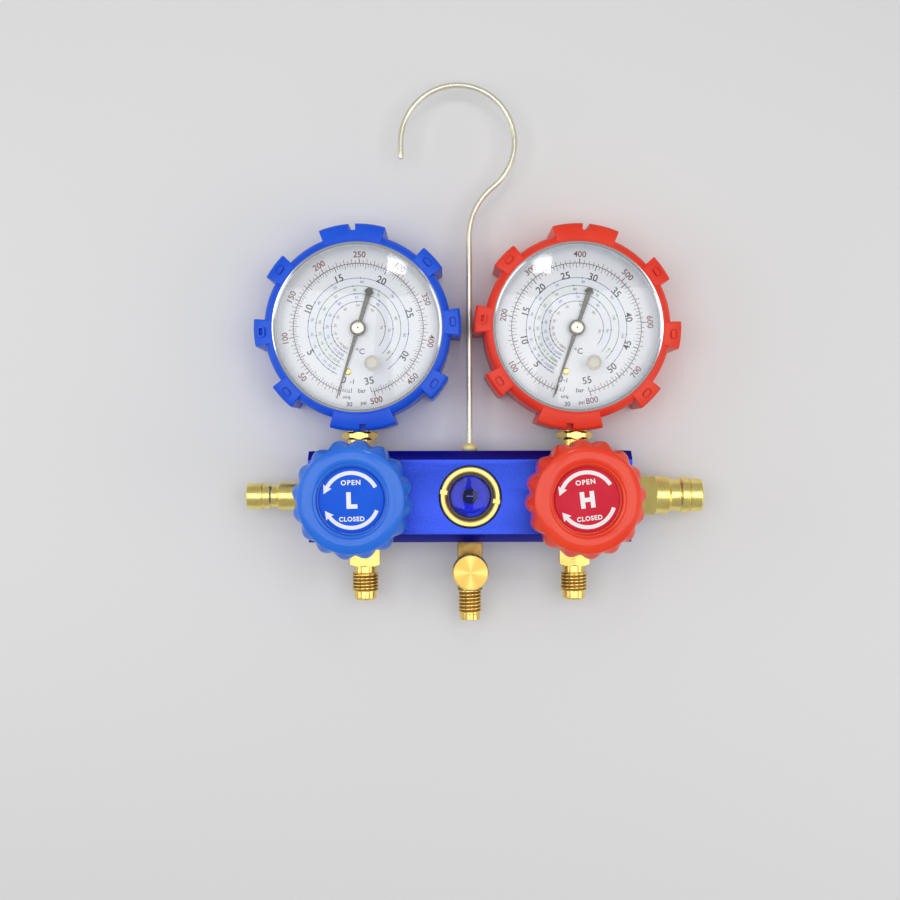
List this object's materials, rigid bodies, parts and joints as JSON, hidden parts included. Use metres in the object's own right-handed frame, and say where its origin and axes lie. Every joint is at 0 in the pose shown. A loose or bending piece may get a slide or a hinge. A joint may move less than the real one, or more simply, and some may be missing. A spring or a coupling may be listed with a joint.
{
  "type": "refrigerant manifold gauge",
  "caption": "Manifold block with two booted dial gauges, handwheel valves, sight glass, threaded hose ports, parking nipples and a swivelling hanging hook.",
  "frame": {"origin": "middle of the bounding box seen from the front, on the surface that the set lies on", "axes": "+X towards the high pressure side, +Y towards the hanging hook, +Z out of the dials"},
  "size_m": [0.2178, 0.2576, 0.0616],
  "materials": {
    "anodised_block": "blue anodised, fine blasted",
    "brass": "turned, bright",
    "hook_wire": "bright plated wire",
    "seal_rubber": "black",
    "sight_glass": "clear",
    "sight_disc": "matte",
    "low_wheel": "moulded, satin",
    "high_wheel": "moulded, satin",
    "low_label": "glossy",
    "high_label": "glossy",
    "screw_steel": "plated",
    "low_boot": "moulded",
    "high_boot": "moulded",
    "gauge_case": "black",
    "bezel": "bright plated",
    "dial": "white satin",
    "lens": "clear",
    "lens_plug": "translucent white",
    "pointer": "dark",
    "movement": "pressed and cut",
    "bourdon_tube": "drawn bronze"
  },
  "bodies": {
    "root": {"manifold_block": "anodised_block", "sight_glass_ring": "brass", "low_port": "brass", "high_port": "brass", "charge_port": "brass", "charge_valve_core": "brass", "low_parking_nipple": "brass", "high_parking_nipple": "brass", "hook_ferrule": "brass", "low_bonnet": "brass", "high_bonnet": "brass", "low_gauge_stem": "brass", "high_gauge_stem": "brass", "low_dial_screw": "brass", "high_dial_screw": "brass", "sight_glass_gasket": "seal_rubber", "low_bonnet_seal": "seal_rubber", "high_bonnet_seal": "seal_rubber", "sight_glass_lens": "sight_glass", "sight_glass_disc": "sight_disc", "low_gauge_boot": "low_boot", "high_gauge_boot": "high_boot", "low_gauge_case": "gauge_case", "high_gauge_case": "gauge_case", "low_bezel": "bezel", "high_bezel": "bezel", "low_dial": "dial", "high_dial": "dial", "low_lens": "lens", "high_lens": "lens", "low_lens_plug": "lens_plug", "high_lens_plug": "lens_plug", "low_movement_frame": "movement", "high_movement_frame": "movement", "low_bourdon_tube": "bourdon_tube", "high_bourdon_tube": "bourdon_tube"},
    "hook": {"hook": "hook_wire"},
    "charge_cap_seal": {"charge_cap_seal": "seal_rubber"},
    "charge_cap": {"charge_cap": "brass"},
    "low_piston": {"low_piston": "brass", "low_piston_ring": "seal_rubber"},
    "low_knob": {"low_spindle": "brass", "low_handwheel": "low_wheel", "low_knob_screw": "screw_steel", "low_knob_label": "low_label"},
    "low_sector": {"low_sector_gear": "movement"},
    "low_pointer": {"low_pointer": "pointer", "low_pinion_arbor": "movement"},
    "low_link": {"low_link": "movement"},
    "high_piston": {"high_piston": "brass", "high_piston_ring": "seal_rubber"},
    "high_knob": {"high_spindle": "brass", "high_handwheel": "high_wheel", "high_knob_screw": "screw_steel", "high_knob_label": "high_label"},
    "high_sector": {"high_sector_gear": "movement"},
    "high_pointer": {"high_pointer": "pointer", "high_pinion_arbor": "movement"},
    "high_link": {"high_link": "movement"}
  },
  "joints": [
    {"name": "hook_swivel", "type": "hinge", "parent": "root", "child": "hook", "pos_m": [-0.00225, -0.0479, 0.015], "axis": [0, 1, 0], "continuous": true},
    {"name": "charge_cap_lift", "type": "slide", "parent": "root", "child": "charge_cap_seal", "axis": [0, 0, 1], "range_m": [0, 0.004]},
    {"name": "charge_cap_turn", "type": "hinge", "parent": "charge_cap_seal", "child": "charge_cap", "pos_m": [-0.00225, -0.1044, 0.0318], "axis": [0, 0, 1], "range_deg": [0, 1440]},
    {"name": "low_piston_lift", "type": "slide", "parent": "root", "child": "low_piston", "axis": [0, 0, 1], "range_m": [0, 0.00337]},
    {"name": "low_knob_turn", "type": "hinge", "parent": "low_piston", "child": "low_knob", "pos_m": [-0.05565, -0.0694, 0.0365], "axis": [0, 0, 1], "range_deg": [0, 810]},
    {"name": "low_sector_swing", "type": "hinge", "parent": "root", "child": "low_sector", "pos_m": [-0.05485, -0.0034, 0.015], "axis": [0, 0, 1], "range_deg": [-1.2, 41.4]},
    {"name": "low_pointer_turn", "type": "hinge", "parent": "root", "child": "low_pointer", "pos_m": [-0.05485, 0.0101, 0.015], "axis": [0, 0, 1], "range_deg": [-331.21, 9.61]},
    {"name": "low_link_pivot", "type": "hinge", "parent": "low_sector", "child": "low_link", "pos_m": [-0.05485, -0.0099, 0.0116], "axis": [0, 0, 1], "range_deg": [-41.41, 1.21]},
    {"name": "high_piston_lift", "type": "slide", "parent": "root", "child": "high_piston", "axis": [0, 0, 1], "range_m": [0, 0.00337]},
    {"name": "high_knob_turn", "type": "hinge", "parent": "high_piston", "child": "high_knob", "pos_m": [0.04925, -0.0694, 0.0365], "axis": [0, 0, 1], "range_deg": [0, 810]},
    {"name": "high_sector_swing", "type": "hinge", "parent": "root", "child": "high_sector", "pos_m": [0.04825, -0.0034, 0.015], "axis": [0, 0, 1], "range_deg": [-0.8, 41.4]},
    {"name": "high_pointer_turn", "type": "hinge", "parent": "root", "child": "high_pointer", "pos_m": [0.04825, 0.0101, 0.015], "axis": [0, 0, 1], "range_deg": [-331.21, 6.41]},
    {"name": "high_link_pivot", "type": "hinge", "parent": "high_sector", "child": "high_link", "pos_m": [0.04825, -0.0099, 0.0116], "axis": [0, 0, 1], "range_deg": [-41.41, 0.81]}
  ],
  "couplings": [
    {"joint": "charge_cap_lift", "follows": "charge_cap_turn", "m_per_rad": 0.00015915},
    {"joint": "low_piston_lift", "follows": "low_knob_turn", "m_per_rad": 0.00023873},
    {"joint": "low_pointer_turn", "follows": "low_sector_swing", "ratio": -8},
    {"joint": "low_link_pivot", "follows": "low_sector_swing", "ratio": -1},
    {"joint": "high_piston_lift", "follows": "high_knob_turn", "m_per_rad": 0.00023873},
    {"joint": "high_pointer_turn", "follows": "high_sector_swing", "ratio": -8},
    {"joint": "high_link_pivot", "follows": "high_sector_swing", "ratio": -1}
  ]
}
